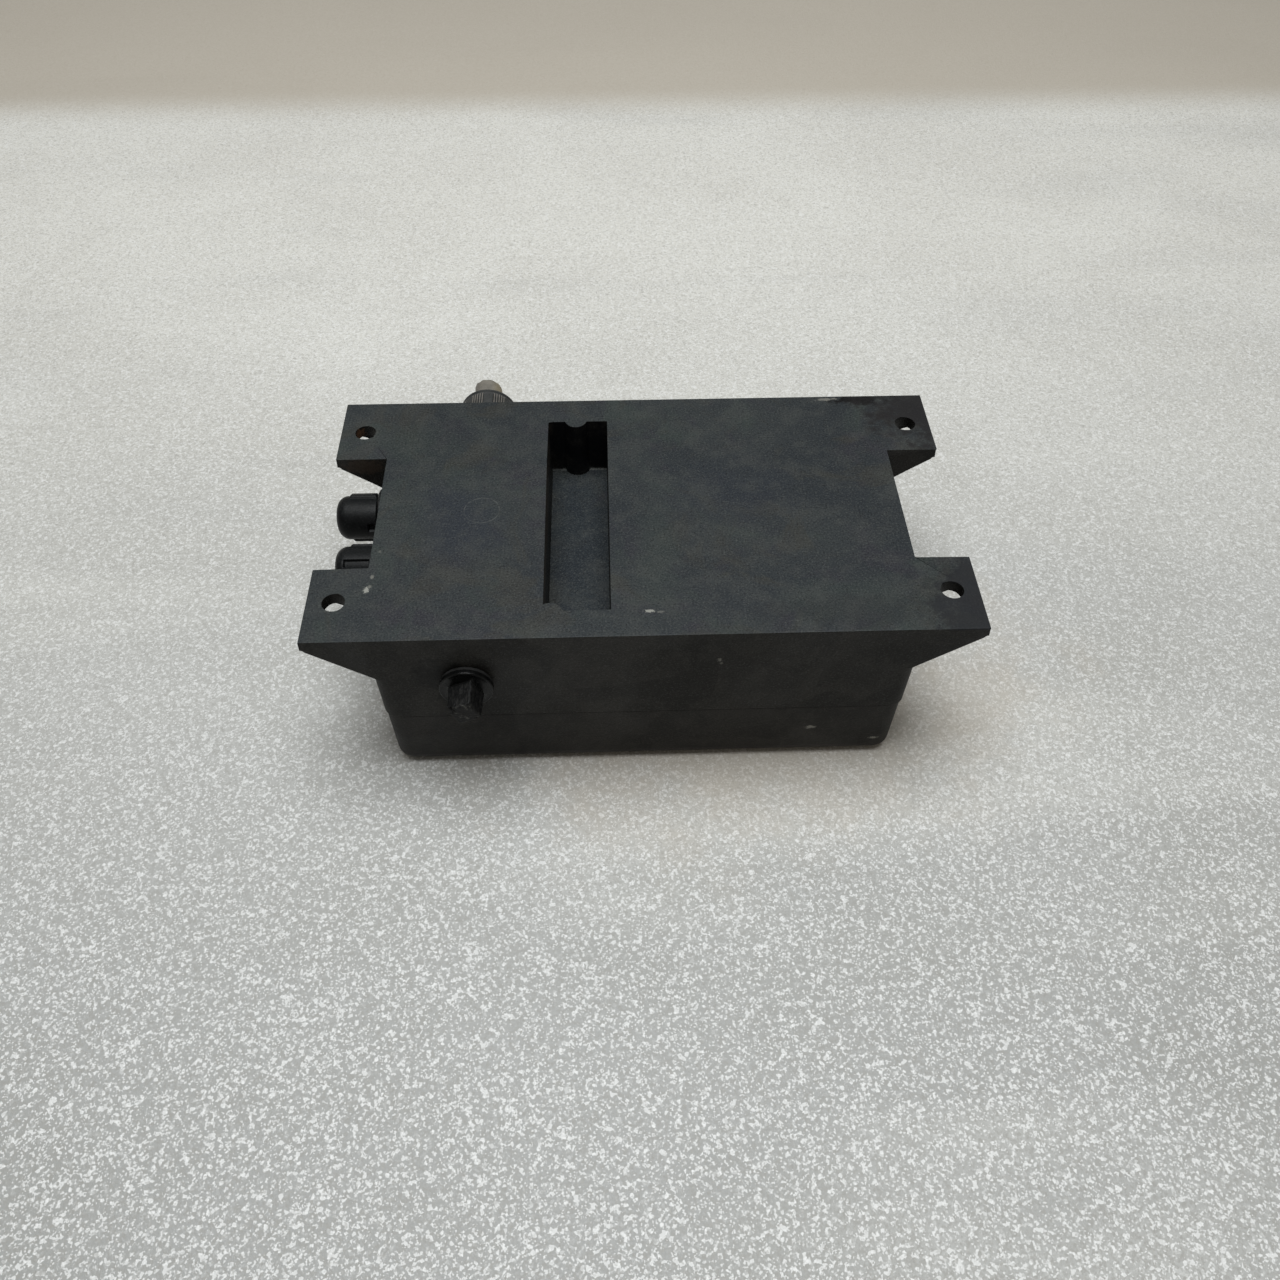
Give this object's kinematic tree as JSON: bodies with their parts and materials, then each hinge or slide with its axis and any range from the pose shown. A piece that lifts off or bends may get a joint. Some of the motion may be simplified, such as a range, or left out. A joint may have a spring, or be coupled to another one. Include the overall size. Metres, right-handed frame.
{
  "type": "brake controller unit",
  "caption": "Moulded control box for a trailer brake, with a mounting plate on bolted ears, a pocket in it, capped sockets at one end, a cable gland behind and a square-headed plug in front.",
  "frame": {"origin": "centre of the cover's flat face, on which the unit stands", "axes": "+X along the plate, away from the capped sockets; +Y towards the cable gland; +Z out of the mounting face"},
  "size_m": [0.1966, 0.1496, 0.063],
  "materials": {
    "shell": "moulded, glass-filled, faint grain, dusty",
    "cover": "moulded, a little smoother than the shell",
    "fitting": "moulded, semi-gloss",
    "rubber": "soft, matt",
    "steel": "zinc plated",
    "contact": "gilt",
    "cable": "grey extruded jacket",
    "board": "green solder mask",
    "epoxy": "moulded component body",
    "relay": "blue case",
    "terminal": "green moulding",
    "aluminium": "as extruded",
    "sleeve": "dark shrink sleeve",
    "winding": "enamelled copper",
    "fuse": "amber",
    "wire_red": "insulation",
    "wire_black": "insulation",
    "wire_blue": "insulation",
    "wire_white": "insulation"
  },
  "bodies": {
    "unit": {"board_screw_1": "steel", "board_screw_2": "steel", "board_screw_3": "steel", "board_screw_4": "steel", "cable_stub": "cable", "capacitor_1": "sleeve", "capacitor_2": "sleeve", "circuit_board": "board", "cover": "cover", "cover_screw_1": "steel", "cover_screw_2": "steel", "cover_screw_3": "steel", "cover_screw_4": "steel", "cover_screw_5": "steel", "cover_screw_6": "steel", "fuse": "fuse", "fuse_holder": "epoxy", "gasket": "rubber", "gland_body": "fitting", "gland_lock_nut": "fitting", "gland_o_ring": "rubber", "gland_seal": "rubber", "header_1": "epoxy", "header_2": "epoxy", "heat_sink": "aluminium", "housing": "shell", "inductor": "winding", "microcontroller": "epoxy", "motion_sensor": "aluminium", "power_transistor_1": "epoxy", "power_transistor_2": "epoxy", "relay_1": "relay", "relay_2": "relay", "socket_1": "fitting", "socket_1_contacts": "contact", "socket_1_lead": "wire_black", "socket_1_nut": "steel", "socket_1_spacer": "fitting", "socket_1_washer": "rubber", "socket_2": "fitting", "socket_2_contacts": "contact", "socket_2_lead": "wire_black", "socket_2_nut": "steel", "socket_2_washer": "rubber", "terminal_block": "terminal", "wire_black": "wire_black", "wire_blue": "wire_blue", "wire_red": "wire_red", "wire_white": "wire_white"},
    "cap_1_carrier": {"cap_1_seal": "rubber"},
    "cap_1": {"cap_1": "fitting"},
    "cap_2_carrier": {"cap_2_seal": "rubber"},
    "cap_2": {"cap_2": "fitting"},
    "gland_carrier": {"gland_slip_ring": "fitting"},
    "gland_nut": {"gland_nut": "fitting"},
    "plug_carrier": {"blanking_plug_washer": "rubber"},
    "blanking_plug": {"blanking_plug": "fitting"}
  },
  "joints": [
    {"name": "cap_1_out", "type": "slide", "parent": "unit", "child": "cap_1_carrier", "axis": [-1, 0, 0], "range_m": [0, 0.006]},
    {"name": "cap_1_turn", "type": "hinge", "parent": "cap_1_carrier", "child": "cap_1", "pos_m": [-0.0905, 0.0139, 0.047], "axis": [-1, 0, 0], "range_deg": [0, 1440]},
    {"name": "cap_2_out", "type": "slide", "parent": "unit", "child": "cap_2_carrier", "axis": [-1, 0, 0], "range_m": [0, 0.006]},
    {"name": "cap_2_turn", "type": "hinge", "parent": "cap_2_carrier", "child": "cap_2", "pos_m": [-0.088, -0.0093, 0.047], "axis": [-1, 0, 0], "range_deg": [0, 1440]},
    {"name": "gland_nut_out", "type": "slide", "parent": "unit", "child": "gland_carrier", "axis": [0, 1, 0], "range_m": [0, 0.006]},
    {"name": "gland_nut_turn", "type": "hinge", "parent": "gland_carrier", "child": "gland_nut", "pos_m": [-0.0528, 0.066, 0.0435], "axis": [0, 1, 0], "range_deg": [0, 1440]},
    {"name": "blanking_plug_out", "type": "slide", "parent": "unit", "child": "plug_carrier", "axis": [0, -1, 0], "range_m": [0, 0.006]},
    {"name": "blanking_plug_turn", "type": "hinge", "parent": "plug_carrier", "child": "blanking_plug", "pos_m": [-0.0528, -0.058, 0.0435], "axis": [0, -1, 0], "range_deg": [0, 1440]}
  ],
  "couplings": [
    {"joint": "cap_1_turn", "follows": "cap_1_out", "rad_per_m": 4188.8},
    {"joint": "cap_2_turn", "follows": "cap_2_out", "rad_per_m": 4188.8},
    {"joint": "gland_nut_turn", "follows": "gland_nut_out", "rad_per_m": 4188.8},
    {"joint": "blanking_plug_turn", "follows": "blanking_plug_out", "rad_per_m": 4188.8}
  ]
}
